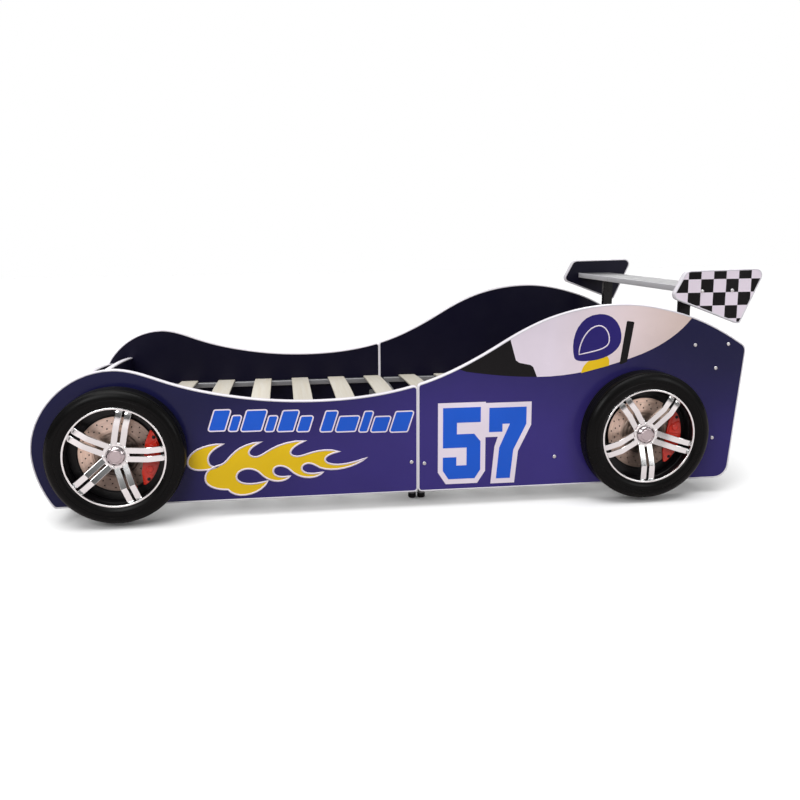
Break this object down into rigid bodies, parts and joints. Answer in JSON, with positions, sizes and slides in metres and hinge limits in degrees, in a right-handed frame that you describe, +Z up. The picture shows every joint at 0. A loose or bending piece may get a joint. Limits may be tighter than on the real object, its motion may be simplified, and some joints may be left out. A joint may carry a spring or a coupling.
{
  "type": "toddler bed",
  "caption": "Child's bed shaped like an open racing car: curved side boards with printed pictures, four spinning wheels, a slatted steel base and a tail wing on struts.",
  "frame": {"origin": "on the floor under the middle of the overall box", "axes": "+X from nose to tail, +Y to the bed's right side, +Z up"},
  "size_m": [2.224, 1.088, 0.7195],
  "materials": {
    "panel_blue": "dark blue printed gloss foil with yellow, white and bright blue pictures, white edging",
    "inner_navy": "satin near-black navy foil",
    "end_plate": "black and white chequers outside, dark inside, white edging",
    "steel_grey": "grey powder coat",
    "strut_black": "satin black",
    "wing_silver": "silver-grey foil",
    "slat_cream": "pale bare wood, lightly sanded",
    "tyre_black": "smooth semi-gloss black",
    "chrome": "bright chrome",
    "disc_steel": "turned steel with a warm tint",
    "caliper_red": "glossy red",
    "backing_black": "matt black"
  },
  "bodies": {
    "bed": {"side_front_left": "panel_blue", "side_rear_left": "panel_blue", "side_front_right": "panel_blue", "side_rear_right": "panel_blue", "nose_panel": "panel_blue", "front_panel": "inner_navy", "headboard": "inner_navy", "rear_deck": "inner_navy", "wing_end_plate_left": "end_plate", "wing_strut_left": "strut_black", "joint_plate_left": "steel_grey", "rail_front_left": "steel_grey", "rail_rear_left": "steel_grey", "wing_end_plate_right": "end_plate", "wing_strut_right": "strut_black", "joint_plate_right": "steel_grey", "rail_front_right": "steel_grey", "rail_rear_right": "steel_grey", "wing_board": "wing_silver", "leg_frame_front": "steel_grey", "leg_frame_mid_front": "steel_grey", "leg_frame_mid_rear": "steel_grey", "leg_frame_rear": "steel_grey", "slat_01": "slat_cream", "slat_02": "slat_cream", "slat_03": "slat_cream", "slat_04": "slat_cream", "slat_05": "slat_cream", "slat_06": "slat_cream", "slat_07": "slat_cream", "slat_08": "slat_cream", "slat_09": "slat_cream", "slat_10": "slat_cream", "slat_11": "slat_cream", "slat_12": "slat_cream", "slat_13": "slat_cream", "brake_disc_front_left": "disc_steel", "caliper_front_left": "caliper_red", "backplate_front_left": "backing_black", "brake_disc_front_right": "disc_steel", "caliper_front_right": "caliper_red", "backplate_front_right": "backing_black", "brake_disc_rear_left": "disc_steel", "caliper_rear_left": "caliper_red", "backplate_rear_left": "backing_black", "brake_disc_rear_right": "disc_steel", "caliper_rear_right": "caliper_red", "backplate_rear_right": "backing_black"},
    "wheel_front_left": {"tyre_front_left": "tyre_black", "rim_front_left": "chrome", "centre_cap_front_left": "chrome"},
    "wheel_front_right": {"tyre_front_right": "tyre_black", "rim_front_right": "chrome", "centre_cap_front_right": "chrome"},
    "wheel_rear_left": {"tyre_rear_left": "tyre_black", "rim_rear_left": "chrome", "centre_cap_rear_left": "chrome"},
    "wheel_rear_right": {"tyre_rear_right": "tyre_black", "rim_rear_right": "chrome", "centre_cap_rear_right": "chrome"}
  },
  "joints": [
    {"name": "wheel_front_left_spin", "type": "hinge", "parent": "bed", "child": "wheel_front_left", "pos_m": [-0.86361, -0.514, 0.214], "axis": [0, 1, 0], "continuous": true},
    {"name": "wheel_front_right_spin", "type": "hinge", "parent": "bed", "child": "wheel_front_right", "pos_m": [-0.86361, 0.514, 0.214], "axis": [0, 1, 0], "continuous": true},
    {"name": "wheel_rear_left_spin", "type": "hinge", "parent": "bed", "child": "wheel_rear_left", "pos_m": [0.73919, -0.514, 0.214], "axis": [0, 1, 0], "continuous": true},
    {"name": "wheel_rear_right_spin", "type": "hinge", "parent": "bed", "child": "wheel_rear_right", "pos_m": [0.73919, 0.514, 0.214], "axis": [0, 1, 0], "continuous": true}
  ]
}
